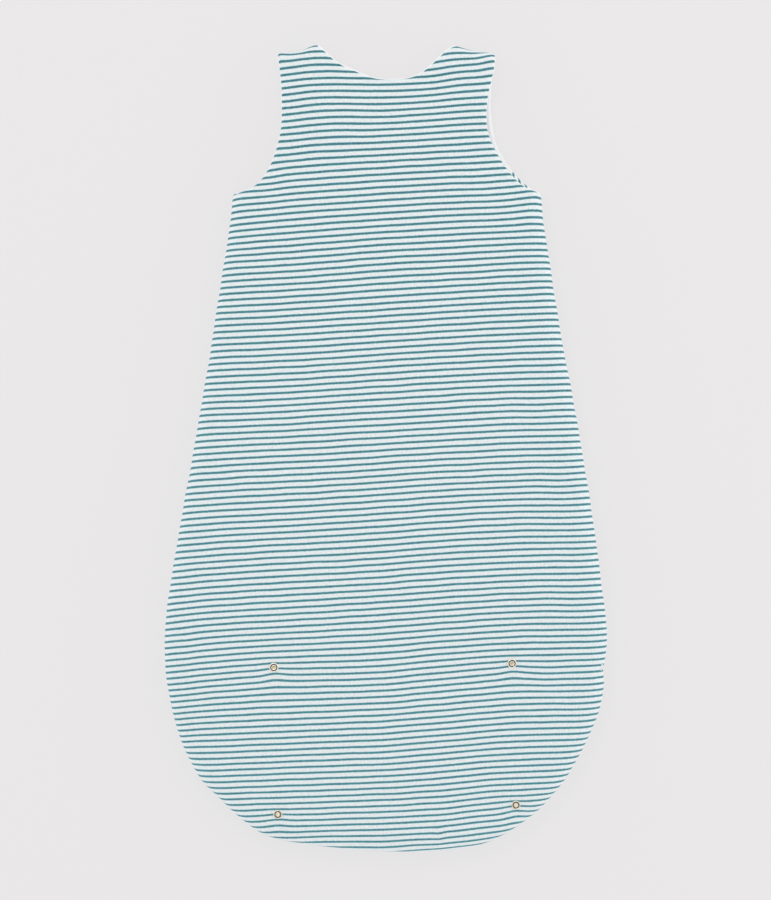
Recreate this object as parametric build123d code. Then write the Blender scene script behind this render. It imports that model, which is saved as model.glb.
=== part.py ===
"""Padded baby sleeping bag, sleeveless, laid flat and face down: the back panel is on top.

Frame, millimetres: +X to the right of someone looking down on the back, +Y towards the neck,
+Z up out of the back panel. The origin is on the surface it lies on, under the middle.
The front has a central zip. The hem folds up over the back and snaps there to shorten the bag.
"""

from build123d import *
import math
import os

# ---------------------------------------------------------------- driving dimensions
LENGTH = 900.0            # neck points to hem
THICK = 38.0              # both padded panels and the space between them
SHELL_T = 1.5             # striped velour
WADDING_T = 8.0
LINING_T = 1.0            # jersey
HALF_LENGTH = LENGTH / 2
MID_Z = THICK / 2         # the side seam's height
PANEL_T = SHELL_T + WADDING_T + LINING_T

# half outline of both panels, the +X half, from the neck point down
NECK_POINT = (76.5, HALF_LENGTH)
SHOULDER_END = (122.0, 441.0)
ARMPIT = (171.5, 287.0)
ARMHOLE = [(115.0, 392.0), (121.5, 342.0), (141.0, 303.0)]
SIDE = [(178.0, 235.0), (190.0, 152.0), (207.0, 52.0), (228.0, -60.0), (243.5, -158.0),
        (247.0, -215.0), (243.0, -275.0), (229.0, -325.0), (204.0, -371.0), (168.0, -408.0),
        (122.0, -436.0), (62.0, -447.5)]
HEM = (0.0, -HALF_LENGTH)
BACK_NECK = [(60.0, 436.0), (36.0, 422.0), (0.0, 413.0)]
FRONT_NECK = [(66.0, 420.0), (42.0, 386.0), (0.0, 369.0)]
OPEN_FROM_Y = 290.0       # between these two the panels' edges are free, at the armholes
OPEN_TO_Y = 430.0
OPEN_NECK_HALF = 72.0     # and at the neck as far out as this

# fold line of the hem, and the snaps that hold it up; the line lies a little off square
FOLD_Y = -322.0
FOLD_TILT = 1.6           # degrees
FOLD_Z = THICK + 2.0      # the snaps meet face to face here
FOLD_GAP = 0.4            # cut between the upper bag and the hem part
SNAP_U = {"left": -123.2, "right": 142.5}   # along the fold line
SNAP_N = {"left": 82.0, "right": 79.0}      # each snap's distance from the fold line

# zip
ZIP_TOP = 350.0
ZIP_BOTTOM = -230.0
ZIP_Z = 7.0               # middle of the tape
SLOT_HALF = 7.0           # from the centre line to the front's turned edge
TAPE_T = 0.6
TAPE_INNER = 1.8
TAPE_OUTER = 16.0
GROOVE_CLEAR = 0.1
TOOTH_PITCH = 3.0
TOOTH_WIDTH = 1.25
TOOTH_T = 2.8
TOOTH_TIP = 0.55          # the two rows stand this far off the centre line
TOOTH_HEEL = 3.6
STOP_LENGTH = 2.5

# slider and pull
SLIDER_Y = ZIP_TOP - 6.5
SLIDER_LENGTH = 11.0
SLIDER_HALF = 5.0
PLATE_T = 1.2
TOOTH_CLEAR = 0.3
BRIDGE_Z = (1.1, 2.3)
BRIDGE_HALF = 1.1
PULL_Z = 3.2
PULL_LENGTH = 28.0
PULL_HALF = 4.0
PULL_HOLE_R = 1.5

# snaps
SNAP_R = 5.3
SOCKET_H = 2.3
SOCKET_BORE_R = 2.15
STUD_R = 5.0
PRONG_CIRCLE_R = 3.4
PRONG_R = 0.35
PRONGS = 5
RING_T = 0.7
PATCH_T = 0.6
PATCH_R = 7.0
POCKET_CLEAR = 0.2

FAR = 2000.0              # larger than anything here


# ---------------------------------------------------------------- helpers
def save(shape, name):
    """Writes one node."""
    export_step(shape, f"parts/{name}.step")


def slab(x, y, z):
    """A box from three (low, high) pairs."""
    size = [high - low for low, high in (x, y, z)]
    middle = [(high + low) / 2 for low, high in (x, y, z)]
    return Pos(*middle) * Box(*size)


def disc(radius, low, high):
    return Pos(0, 0, low) * Cylinder(radius, high - low, align=(Align.CENTER, Align.CENTER, Align.MIN))


def group(solids):
    return Compound(children=list(solids))


def across(points):
    """A run from the right side to the centre line, carried on to the left side."""
    return points + [(-x, y) for x, y in reversed(points[:-1])]


def outline(neck):
    """The flat shape of one panel: shoulders, armholes, flared sides and round hem."""
    armhole = [SHOULDER_END, *ARMHOLE, ARMPIT]
    left = [(-x, y) for x, y in armhole]
    return make_face([
        Spline(*across([NECK_POINT, *neck])),
        Line(NECK_POINT, SHOULDER_END),
        Spline(*armhole),
        Spline(*across([ARMPIT, *SIDE, HEM]), tangents=[(0.15, -1), (0.15, 1)]),
        Spline(*left),
        Line(left[0], (-NECK_POINT[0], NECK_POINT[1])),
    ])


def inset(face, amount):
    """The same outline moved in, as plain splines."""
    inner = offset(face, amount=-amount, kind=Kind.INTERSECTION)
    return make_face(inner.faces()[0].outer_wire().to_splines(tolerance=0.01).edges())


def raised(face, low, high):
    """A straight wall from the flat shape, between two heights."""
    return Pos(0, 0, low) * extrude(face, amount=high - low)


def free_zone(high):
    """The space of the neck and the armholes between the seam plane and a height above it."""
    neck = slab((-OPEN_NECK_HALF, OPEN_NECK_HALF), (OPEN_TO_Y, FAR), (0, high))
    return slab((-FAR, FAR), (OPEN_FROM_Y, OPEN_TO_Y), (0, high)) + neck


def panel(neck):
    """Shell, wadding and lining of one panel as nested trays. Heights are from the seam plane.

    The trays' rims reach the seam plane along the sides, hem and shoulders. Along the neck
    and armholes they stop at the lining, so that the space inside is open there.
    """
    face = [outline(neck)]
    for amount in (SHELL_T, SHELL_T + WADDING_T, PANEL_T):
        face.append(inset(face[0], amount))
    top = [MID_Z, MID_Z - SHELL_T, MID_Z - SHELL_T - WADDING_T, MID_Z - PANEL_T]
    shell, wadding, lining = (
        raised(face[i], 0, top[i]) - raised(face[i + 1], 0, top[i + 1]) for i in range(3)
    )
    turned_in = (raised(face[1], top[3], top[2]) - raised(face[2], top[3], top[2])) & free_zone(top[2])
    free = free_zone(top[3])
    return shell - free, wadding - free_zone(top[2]), (lining - free) + turned_in


def facing_down(shape):
    """Mirrors a panel made from the seam plane up, and puts the plane at its height."""
    return Pos(0, 0, MID_Z) * mirror(shape, about=Plane.XY)


def fold_frame():
    return Pos(0, FOLD_Y, 0) * Rot(0, 0, FOLD_TILT)


def fold_side(sign):
    """Everything on one side of the fold line, clear of it by half the gap."""
    low, high = sorted((sign * FOLD_GAP / 2, sign * FAR))
    return fold_frame() * slab((-FAR, FAR), (low, high), (-FAR, FAR))


def snap_place(side, sign):
    return fold_frame() * Pos(SNAP_U[side], sign * SNAP_N[side], 0)


# ---------------------------------------------------------------- snaps
def prongs(radius, low, high):
    return [
        PolarLocations(PRONG_CIRCLE_R, PRONGS).locations[i] * disc(radius, low, high)
        for i in range(PRONGS)
    ]


def prong_ring():
    """Sits under the shell; its prongs pass through patch and shell to the snap."""
    top = THICK - SHELL_T - PATCH_T
    ring = disc(STUD_R - 0.2, top - RING_T, top) - disc(SOCKET_BORE_R, top - RING_T, top)
    for prong in prongs(PRONG_R, top, THICK):
        ring += prong
    return ring


def patch():
    top = THICK - SHELL_T
    cloth = disc(PATCH_R, top - PATCH_T, top)
    for hole in prongs(PRONG_R + 0.05, top - PATCH_T, top):
        cloth -= hole
    return cloth


def socket():
    """The female half: flange, raised ring and a bore with a groove for its spring."""
    top = THICK + SOCKET_H
    body = disc(SNAP_R, THICK, THICK + 0.7) + disc(SNAP_R - 0.9, THICK, top)
    body = fillet(body.edges().sort_by(Axis.Z)[-1], 0.6)
    body -= disc(SOCKET_BORE_R, THICK + 0.4, top)
    return body - disc(SOCKET_BORE_R + 0.35, top - 0.8, top - 0.3)


def socket_spring():
    return Pos(0, 0, THICK + SOCKET_H - 0.55) * Torus(2.2, 0.2)


def stud():
    """The male half: flange, low dome and a headed knob that clicks past the spring."""
    profile = Polyline(
        (0, THICK), (STUD_R, THICK), (STUD_R, THICK + 0.5), (STUD_R - 0.5, THICK + 0.7),
        (3.7, THICK + 0.8), (3.3, THICK + 1.5), (1.6, THICK + 1.5), (1.6, THICK + 2.5),
        (1.95, THICK + 2.7), (1.9, THICK + 3.0), (1.4, THICK + 3.2), (0, THICK + 3.2),
        close=True,
    )
    return revolve(Plane.XZ * make_face(Plane.XY * profile), axis=Axis.Z)


# ---------------------------------------------------------------- zip
def tape(sign):
    low, high = sorted((sign * TAPE_INNER, sign * TAPE_OUTER))
    return slab((low, high), (ZIP_BOTTOM - 9, ZIP_TOP + 12), (ZIP_Z - TAPE_T / 2, ZIP_Z + TAPE_T / 2))


def tape_groove():
    reach = TAPE_OUTER + GROOVE_CLEAR
    half = TAPE_T / 2 + GROOVE_CLEAR
    return slab((-reach, reach), (ZIP_BOTTOM - 9 - GROOVE_CLEAR, FAR), (ZIP_Z - half, ZIP_Z + half))


def clamp_slot():
    """The slot in a tooth or stop that the tapes' edges sit in."""
    return slab((TAPE_INNER, FAR), (-FAR, FAR), (ZIP_Z - TAPE_T / 2, ZIP_Z + TAPE_T / 2))


def tooth():
    half = TOOTH_WIDTH / 2
    block = slab((TOOTH_TIP, TOOTH_HEEL), (-half, half), (ZIP_Z - TOOTH_T / 2, ZIP_Z + TOOTH_T / 2))
    return block - clamp_slot()


def teeth_row(sign):
    """One side's moulded teeth; the left row is half a pitch lower, so that the rows mesh."""
    one = tooth() if sign > 0 else mirror(tooth(), about=Plane.YZ)
    start = ZIP_BOTTOM + TOOTH_PITCH * (1.0 if sign > 0 else 0.5)
    count = int((ZIP_TOP - start) / TOOTH_PITCH)
    return group(Pos(0, start + i * TOOTH_PITCH, 0) * one for i in range(count))


def top_stop(sign):
    half_t = TOOTH_T / 2 + 0.2
    block = slab((TOOTH_TIP, TOOTH_HEEL), (ZIP_TOP, ZIP_TOP + STOP_LENGTH), (ZIP_Z - half_t, ZIP_Z + half_t))
    block -= clamp_slot()
    return block if sign > 0 else mirror(block, about=Plane.YZ)


def bottom_stop():
    half_t = TOOTH_T / 2 + 0.2
    low = ZIP_BOTTOM - STOP_LENGTH
    block = slab((-TOOTH_HEEL, TOOTH_HEEL), (low, ZIP_BOTTOM), (ZIP_Z - half_t, ZIP_Z + half_t))
    return block - clamp_slot() - mirror(clamp_slot(), about=Plane.YZ)


def slider_body():
    """Two plates with side flanges, joined at the top end by the blade between the teeth."""
    half = SLIDER_LENGTH / 2
    low, high = SLIDER_Y - half, SLIDER_Y + half
    gap = TOOTH_T / 2 + TOOTH_CLEAR
    flange_gap = TAPE_T / 2 + TOOTH_CLEAR
    body = None
    for near, far in ((ZIP_Z - gap, ZIP_Z - gap - PLATE_T), (ZIP_Z + gap, ZIP_Z + gap + PLATE_T)):
        plate = slab((-SLIDER_HALF, SLIDER_HALF), (low, high), sorted((near, far)))
        plate = fillet(plate.edges().filter_by(Axis.Z), 2.0)
        flange_z = sorted((near, ZIP_Z + math.copysign(flange_gap, near - ZIP_Z)))
        for side in (-1, 1):
            x = sorted((side * (SLIDER_HALF - 1.0), side * SLIDER_HALF))
            plate += slab(x, (low + 2, high - 2), flange_z)
        body = plate if body is None else body + plate
    blade_half = TOOTH_TIP - 0.2
    return body + slab((-blade_half, blade_half), (high - 4.0, high - 1.0), (ZIP_Z - gap, ZIP_Z + gap))


def slider_bridge():
    """The loop on the slider's outer plate that holds the pull."""
    top = ZIP_Z - TOOTH_T / 2 - TOOTH_CLEAR - PLATE_T
    y = (SLIDER_Y - 4.6, SLIDER_Y + 4.6)
    loop = slab((-BRIDGE_HALF, BRIDGE_HALF), y, (BRIDGE_Z[0], top))
    loop = fillet(loop.edges().filter_by(Axis.X).sort_by(Axis.Z)[:2], 1.0)
    return loop - slab((-FAR, FAR), (y[0] + 1.2, y[1] - 1.2), (BRIDGE_Z[1], top))


def pull_tab():
    """A flat tab with an eye at its end; its cross bar turns in the bridge's loop."""
    tip = SLIDER_Y - PULL_LENGTH
    tab = slab((-PULL_HALF, PULL_HALF), (tip, SLIDER_Y), (PULL_Z - 0.5, PULL_Z + 0.5))
    tab = fillet(tab.edges().filter_by(Axis.Z).sort_by(Axis.Y)[:2], 3.0)
    arm_inner = BRIDGE_HALF + 0.5
    tab -= slab((-arm_inner, arm_inner), (SLIDER_Y - 6.6, FAR), (-FAR, FAR))
    tab -= Pos(0, tip + 4.5, 0) * disc(PULL_HOLE_R, 0, THICK)
    bar = Pos(0, SLIDER_Y, PULL_Z) * Rot(0, 90, 0) * Cylinder(0.6, 2 * PULL_HALF)
    return tab + bar


# ---------------------------------------------------------------- assembly
def back_panel():
    shell, wadding, lining = (Pos(0, 0, MID_Z) * layer for layer in panel(BACK_NECK))
    for side in SNAP_U:
        for sign in (-1, 1):
            place = snap_place(side, sign)
            for hole in prongs(PRONG_R + 0.05, THICK - SHELL_T, THICK):
                shell -= place * hole
            floor = THICK - SHELL_T - PATCH_T - RING_T - POCKET_CLEAR
            wadding -= place * disc(PATCH_R + POCKET_CLEAR, floor, THICK - SHELL_T)
    return {"shell": shell, "wadding": wadding, "lining": lining}


def front_panel():
    """The front's layers, with the zip's slot cut and its edges turned in."""
    shell, wadding, lining = (facing_down(layer) for layer in panel(FRONT_NECK))
    y = (ZIP_BOTTOM - 6, FAR)
    lip = slab((-SLOT_HALF - SHELL_T, SLOT_HALF + SHELL_T), y, (0, PANEL_T)) & facing_down(
        raised(outline(FRONT_NECK), 0, MID_Z)
    )
    shell = (shell + lip) - slab((-SLOT_HALF, SLOT_HALF), y, (-FAR, FAR)) - tape_groove()
    wadding = wadding - lip - tape_groove()
    lining = lining - lip
    return {"shell": shell, "wadding": wadding, "lining": lining}


def write_panels():
    """Back as one piece a layer, front as a left and a right piece a layer; all cut at the fold."""
    halves = {"left": slab((-FAR, 0), (-FAR, FAR), (-FAR, FAR)),
              "right": slab((0, FAR), (-FAR, FAR), (-FAR, FAR))}
    for layer, shape in back_panel().items():
        save(shape & fold_side(1), f"back_{layer}")
        save(shape & fold_side(-1), f"foot_back_{layer}")
    for layer, shape in front_panel().items():
        for side, half in halves.items():
            save(shape & half & fold_side(1), f"front_{side}_{layer}")
            save(shape & half & fold_side(-1), f"foot_front_{side}_{layer}")


def write_snaps():
    for side in SNAP_U:
        save(snap_place(side, 1) * socket(), f"snap_socket_{side}")
        save(snap_place(side, -1) * stud(), f"snap_stud_{side}")
    for row, sign in (("upper", 1), ("lower", -1)):
        save(group(snap_place(side, sign) * prong_ring() for side in SNAP_U), f"prong_rings_{row}")
        save(group(snap_place(side, sign) * patch() for side in SNAP_U), f"snap_patches_{row}")
    save(group(snap_place(side, 1) * socket_spring() for side in SNAP_U), "snap_springs")


def write_zip():
    for side, sign in (("left", -1), ("right", 1)):
        save(tape(sign), f"zip_tape_{side}")
        save(teeth_row(sign), f"zip_teeth_{side}")
    save(group([top_stop(-1), top_stop(1)]), "zip_top_stops")
    save(bottom_stop(), "zip_bottom_stop")
    save(slider_body(), "zip_slider_body")
    save(slider_bridge(), "zip_slider_bridge")
    save(pull_tab(), "zip_pull_tab")


def write_trim():
    """The flap behind the zip, the garage that its slider parks under, and two blank labels."""
    save(slab((-20, 14), (ZIP_BOTTOM - 6, ZIP_TOP + 8), (PANEL_T, PANEL_T + 1.2)), "zip_underlap")
    save(slab((-SLOT_HALF + 0.2, SLOT_HALF - 0.2), (ZIP_TOP + 1, ZIP_TOP + 16), (0.2, 1.7)), "zip_garage")
    lining_z = THICK - PANEL_T
    save(slab((-16, 16), (378, 396), (lining_z - 0.6, lining_z)), "neck_label")
    save(slab((-225, -195), (-190, -140), (PANEL_T, PANEL_T + 0.6)), "care_label")


os.makedirs("parts", exist_ok=True)
write_panels()
write_snaps()
write_zip()
write_trim()
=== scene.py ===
"""Looks for the padded baby sleeping bag: lies face down, back panel up, neck towards +Y."""

import math

import bmesh
import bpy
import numpy as np
from mathutils import Matrix, Vector
from mathutils.geometry import delaunay_2d_cdt


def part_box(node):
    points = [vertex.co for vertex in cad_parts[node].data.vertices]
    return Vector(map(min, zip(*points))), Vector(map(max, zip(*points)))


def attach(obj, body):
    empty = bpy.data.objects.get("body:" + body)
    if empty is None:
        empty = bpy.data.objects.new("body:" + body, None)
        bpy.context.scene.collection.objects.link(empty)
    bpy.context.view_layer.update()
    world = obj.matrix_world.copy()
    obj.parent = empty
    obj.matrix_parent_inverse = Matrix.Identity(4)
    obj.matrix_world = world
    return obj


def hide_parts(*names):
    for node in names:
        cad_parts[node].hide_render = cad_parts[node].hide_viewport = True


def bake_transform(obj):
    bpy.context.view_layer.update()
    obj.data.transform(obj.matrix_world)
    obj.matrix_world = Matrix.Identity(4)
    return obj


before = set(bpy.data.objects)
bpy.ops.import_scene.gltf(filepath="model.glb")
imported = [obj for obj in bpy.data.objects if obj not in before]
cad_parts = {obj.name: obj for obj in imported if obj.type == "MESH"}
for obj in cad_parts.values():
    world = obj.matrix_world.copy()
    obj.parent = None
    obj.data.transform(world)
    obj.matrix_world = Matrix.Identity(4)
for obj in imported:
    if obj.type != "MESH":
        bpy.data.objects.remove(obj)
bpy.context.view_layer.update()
MM = 0.001

# ------------------------------------------------------------------ sizes, millimetres
MID = 19.0                # height of the side seam
PITCH = 7.07              # one dark and one light stripe
FIRST_STRIPE = 406.6      # on the centre line, below the neckline
CREASE_X, CREASE_Y = 58.5, -429.0    # a small dent near the hem

# ------------------------------------------------------------------ outlines, wearer's back up
NECK_L, NECK_R = (-77.5, 453.6), (76.5, 452.4)
ARM_TOP_L, ARM_TOP_R = (-122, 443.3), (122.5, 442.0)
BACK_NECK = [NECK_R, (64, 444), (53, 433), (43, 424), (27, 416.2), (-1, 413.6),
             (-19, 416.8), (-37, 424.4), (-54, 432.6), (-65, 441.8), NECK_L]
FRONT_NECK_R = [(72.5, 441), (66, 425), (55, 405), (40, 386), (24, 375), (8.5, 369.5)]
SHOULDER_L = [NECK_L, (-86, 450.0), (-96, 444.4), (-110, 443.6), ARM_TOP_L]
SHOULDER_R = [ARM_TOP_R, (109, 443.4), (92, 446.8), NECK_R]
ARMHOLE_L = [ARM_TOP_L, (-119.2, 422), (-117.4, 396), (-117, 372), (-119.2, 352),
             (-125.5, 328), (-133, 311), (-143, 297.5), (-157, 289.5), (-171, 286)]
ARMHOLE_R = [(172.5, 287), (160, 290.6), (147, 299), (135, 313), (124, 330), (117, 345),
             (113, 360), (112, 376), (113.8, 393), (117.6, 410), (120.8, 426), ARM_TOP_R]
FRONT_ARM_L = [ARM_TOP_L, (-118, 422), (-116, 396), (-115.6, 372), (-117.6, 352),
               (-123.5, 328), (-131, 311), (-141.5, 296.5), (-156, 288.5), (-171, 286)]
FRONT_ARM_R = [(172.5, 286.5), (164, 291), (153.5, 299), (142, 311), (131.2, 326.5), (123.6, 342),
               (119.4, 357), (117.4, 375), (117.2, 394), (118.4, 412), (120.6, 426), ARM_TOP_R]
SIDE_L = [(-171, 286), (-173.5, 262), (-179.5, 220), (-188.5, 164), (-197.5, 104), (-206.5, 52),
          (-217, -10), (-226.5, -62), (-236, -118), (-244.5, -172), (-248, -215), (-247, -243),
          (-243.5, -272), (-236, -305), (-224.5, -338), (-207, -369), (-186, -391),
          (-160, -415), (-132, -433), (-92, -441), (-45, -447), (0, -450)]
SIDE_R = [(0, -450), (50, -449.6), (86, -446), (116, -438.5), (145, -422.5), (172, -401.5),
          (194, -377), (211, -351), (226, -322), (238.6, -290), (243.4, -264), (242.2, -247),
          (245.4, -230), (246.8, -205), (242.6, -166), (236, -114), (228, -58), (219.5, -6),
          (209, 56), (198.5, 110), (189.5, 164), (181, 220), (175.5, 256), (172.5, 287)]
SLOT = 7.0                # from the centre line to the front's edges along the zip
SLOT_END = -236.0         # the slot's lower end


# ------------------------------------------------------------------ small numeric helpers
def smooth(low, high, value):
    """0 below low, 1 above high, and an S between."""
    t = np.clip((value - low) / (high - low), 0, 1)
    return t * t * (3 - 2 * t)


def bell(value, width):
    return np.exp(-0.5 * (value / width) ** 2)


def unit(rows):
    """Rows of directions, each brought to length 1."""
    return rows / np.maximum(np.linalg.norm(rows, axis=1), 1e-6)[:, None]


def leftward(rows):
    """Each direction turned a quarter to the left."""
    return np.stack([-rows[:, 1], rows[:, 0]], axis=1)


def travelled(points, power=1.0):
    """How far along a row of points each one is, with each stretch raised to a power."""
    return np.concatenate([[0], np.cumsum(np.linalg.norm(np.diff(points, axis=0), axis=1) ** power)])


def around(values, width):
    """Blurs a closed row of values; width is in points."""
    reach = int(math.ceil(3 * width))
    offsets = np.arange(-reach, reach + 1)
    weights = bell(offsets, width)
    out = sum(w * np.roll(values, -o, axis=0) for o, w in zip(offsets, weights))
    return out / weights.sum()


def curve(points, step):
    """Points about step apart along a smooth line through the given ones."""
    p = np.array(points, float)
    t = travelled(p, 0.5)
    m = np.gradient(p, t, axis=0) if len(p) > 2 else np.tile((p[1] - p[0]) / t[1], (2, 1))
    fine = []
    for i in range(len(p) - 1):
        h = t[i + 1] - t[i]
        for u in np.linspace(0, 1, 24, endpoint=False):
            a, b = 2 * u**3 - 3 * u**2 + 1, u**3 - 2 * u**2 + u
            c, d = -2 * u**3 + 3 * u**2, u**3 - u**2
            fine.append(a * p[i] + b * h * m[i] + c * p[i + 1] + d * h * m[i + 1])
    fine = np.array(fine + [p[-1]])
    run = travelled(fine)
    at = np.linspace(0, run[-1], max(2, round(run[-1] / step) + 1))
    return np.stack([np.interp(at, run, fine[:, k]) for k in (0, 1)], axis=1)


def mirrored(points):
    return [(-x, y) for x, y in reversed(points)]


def waves(x, y, seed, count, shortest, longest):
    """A sum of plane waves of random heading, about -1 to 1: soft unevenness of cloth."""
    rng = np.random.default_rng(seed)
    total = np.zeros_like(x)
    for _ in range(count):
        heading, phase = rng.uniform(0, 2 * math.pi, 2)
        length = rng.uniform(shortest, longest)
        across = x * math.cos(heading) + y * math.sin(heading)
        total += np.sin(2 * math.pi * across / length + phase)
    return total / math.sqrt(count) * 0.8


# ------------------------------------------------------------------ where the snaps are
def middle_of(node):
    low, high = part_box(node)
    return (low.x + high.x) / 2 / MM, (low.y + high.y) / 2 / MM


SOCKETS = [middle_of("snap_socket_left"), middle_of("snap_socket_right")]
STUDS = [middle_of("snap_stud_left"), middle_of("snap_stud_right")]

# ------------------------------------------------------------------ how the stripes run
# Each list pairs a height y with a value there.
LEFT_RISE = [(-450, 6), (-280, 8.2), (-190, 12.3), (-90, 13.4), (60, 13.9), (180, 14.6),
             (265, 16), (330, 12), (380, 10), (450, 10)]
RIGHT_RISE = [(-450, 19), (-260, 18.6), (-180, 15.6), (-60, 14.2), (60, 13.6), (170, 13.8),
              (260, 11.4), (330, 13), (400, 15.6), (450, 16)]
LEFT_DROP = [(-450, 1.5), (-360, 2), (-320, 4), (-285, 8), (-250, 9.5), (-215, 7.5), (-130, 5),
             (-75, 3.8), (0, 2.2), (60, 0.8), (120, 0.5), (190, 1.8), (235, 2.6), (275, 4.3),
             (330, 1.5), (380, 0)]
RIGHT_DROP = [(-330, 0.5), (-290, 1.4), (-240, 2.2), (-200, 1.4), (-150, 1.2), (-60, 1.8), (5, 2.1),
              (60, 1.3), (120, 0)]
# Small pulls in the cloth: amount, then middle and spread across the bag, middle and spread along it.
PULLS = [(-1.3, 62, 50, 365, 50), (-1.3, 62, 22, -405, 36), (1.2, -42, 34, -425, 22),
         # on the shoulders
         (2.4, -119, 7, 445, 8), (-1.3, -78, 22, 428, 26), (-0.9, -108, 14, 385, 30),
         (2.7, 122, 10, 434, 18), (-2.2, 98, 10, 446, 8), (-0.8, 50, 16, 415, 28),
         # under the arms
         (-2.1, -138, 16, 304, 16), (-1.1, 108, 20, 290, 24), (2.2, 166, 14, 278, 24),
         # along the sides and the hem
         (1.0, -75, 32, -440, 9), (-0.8, 78, 38, -440, 9), (-1.1, 178, 16, -240, 28),
         (-0.9, -222, 10, -228, 22), (-0.7, 72, 24, -325, 28), (0.8, -216, 12, -328, 24),
         (0.6, -14, 16, -374, 22), (0.7, 192, 16, 36, 26)]
# The same round a snap, measured from its middle, and how strongly each snap pulls.
SNAP_PULLS = [(1.9, 0, 9, -9, 8), (1.3, 0, 30, -14, 20), (-0.5, 10, 12, 8, 7)]
SNAP_STRENGTH = (1.0, 1.0, 0.8, 1.25)
CREASE_PULLS = [(-1.3, 0, 4, -0.5, 6), (-0.5, -10.5, 10, 1, 10)]


def level(y, pairs):
    """A value that changes smoothly with y."""
    ys, values = zip(*pairs)
    return sum(np.interp(y + k, ys, values) for k in (-36, -24, -12, 0, 12, 24, 36)) / 7


def outline_x(outline, y):
    """How far out a side's outline is at y."""
    climbing = sorted(outline, key=lambda p: p[1])
    return np.interp(y, [p[1] for p in climbing], [p[0] for p in climbing])


def pull(x, y, rows):
    return sum(amount * bell(x - at_x, wide) * bell(y - at_y, tall)
               for amount, at_x, wide, at_y, tall in rows)


def rise(x, y, pinched):
    """How far the cloth at x, y sits above its place on the centre line."""
    left = level(y, LEFT_RISE)
    out = (left + (level(y, RIGHT_RISE) - left) * smooth(-45, 45, x)) * np.tanh(x / 200)
    from_left = np.clip(x - outline_x(SIDE_L, y), 0, None)
    from_right = np.clip(outline_x(SIDE_R, y) - x, 0, None)
    out -= np.exp(-from_left / 50) * level(y, LEFT_DROP)
    out -= bell(from_right - 24, 24) * level(y, RIGHT_DROP)
    out -= 0.8 * bell(y - 20, 75) * smooth(-70, 20, x)
    below_neck = np.minimum(y - 450, 0)
    out += 6.2 * bell(x + 80, 29) * bell(below_neck, 54) + 2.2 * bell(x - 86, 28) * bell(below_neck, 50)
    out += 1.15 * bell(x + 46, 30) * bell(y - 372 - 0.75 * (x + 48), 26)
    out += pull(x, y, PULLS)
    if pinched:
        out += pull(x - CREASE_X, y - CREASE_Y, CREASE_PULLS)
        for (sx, sy), strength in zip(SOCKETS + STUDS, SNAP_STRENGTH):
            out += strength * pull(x - sx, y - sy, SNAP_PULLS)
    out = out + 0.35 * waves(x, y, seed=11, count=9, shortest=70, longest=190)
    return out + 0.16 * waves(x, y, seed=12, count=9, shortest=22, longest=55)


def stretch(s):
    """The stripes stand a little closer towards the shoulders."""
    return 2.3 * (np.tanh((s - 230) / 125) - np.tanh(-230 / 125))


def stripe_count(x, y, pinched=False):
    """Whole numbers plus a half fall on the middle of the dark lines."""
    s = y - rise(x, y, pinched)
    low = np.clip((-150 - s) / 300, 0, None)
    return (s - 9.5 * low**3 - stretch(s) - FIRST_STRIPE + stretch(FIRST_STRIPE)) / PITCH + 0.5


# ------------------------------------------------------------------ cross sections of the edges
# Each section lists insets from the outline and heights from the seam plane, from the part
# turned inside, round the edge, to the flat. CLOTH_TOP is the outer side of the cloth.
CLOTH_TOP, PAD_TOP, PAD_UNDER, LINING_TOP = 19.0, 17.55, 9.75, 9.4


def arc(rx, centre, rz, start, end, inset=0.0, count=9, power=2.25):
    """Inset and height of points round an edge, by angle in degrees from level."""
    a = np.radians(np.linspace(start, end, count))
    c, s = np.cos(a), np.sin(a)
    into = inset + rx * (1 - np.sign(c) * np.abs(c) ** (2 / power))
    height = centre + rz * np.sign(s) * np.abs(s) ** (2 / power)
    return [(i, max(h, 0.3)) for i, h in zip(into, height)]


def flats(height, *insets):
    return [(i, height) for i in insets]


def cloth_edges():
    free = [(14, 7.4), (9.5, 7.3)] + arc(5.5, 13.15, 5.85, -90, 90)
    free += flats(CLOTH_TOP, 7, 8.3, 9.8, 11.4, 13)
    return {
        "side": [(8, 0.4), (4, 0.3)] + arc(23, 5.5, 13.5, -30, 90)
                + flats(CLOTH_TOP, 24.5, 26, 27.5, 29, 30.5),
        "cap": [(7, 0.4), (3.5, 0.3)] + arc(9, 6.5, 12.5, -30, 90)
               + flats(CLOTH_TOP, 9.8, 10.6, 11.4, 12.2, 13),
        "neck": free,
        "arm": free,
        "slot": [(8, 12.5), (5, 12.5)] + arc(2.2, 15.75, 3.25, -90, 90)
                + [(2.6, CLOTH_TOP), (3.2, CLOTH_TOP - 0.55)] + flats(CLOTH_TOP, 3.8, 7, 13)}


def padding_edges():
    free = [(14, PAD_UNDER), (10, PAD_UNDER), (6, 9.85), (3.3, 10.4)]
    free += arc(4, 13.7, 3.85, -60, 90, 1.5) + flats(PAD_TOP, 7.5, 10, 13)
    return {
        "side": [(22, 9.7), (15, 7.9), (9.5, 5.0), (6.3, 3.0)] + arc(21.4, 5.5, 12.05, -8, 90, 1.6)
                + flats(PAD_TOP, 26, 29, 32),
        "cap": [(13, 9.7), (9.5, 9.0), (7, 7.2), (4.6, 4.9)] + arc(7.8, 6.5, 11.05, -4, 90, 1.5)
               + flats(PAD_TOP, 10.5, 11.8, 13),
        "neck": free,
        "arm": free,
        "slot": [(21, PAD_UNDER), (14.5, 10.2), (10, 13.2), (5, 14.0)] + arc(1.6, 15.75, 1.8, -60, 90, 1.5)
                + flats(PAD_TOP, 6, 9, 13)}


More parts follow.
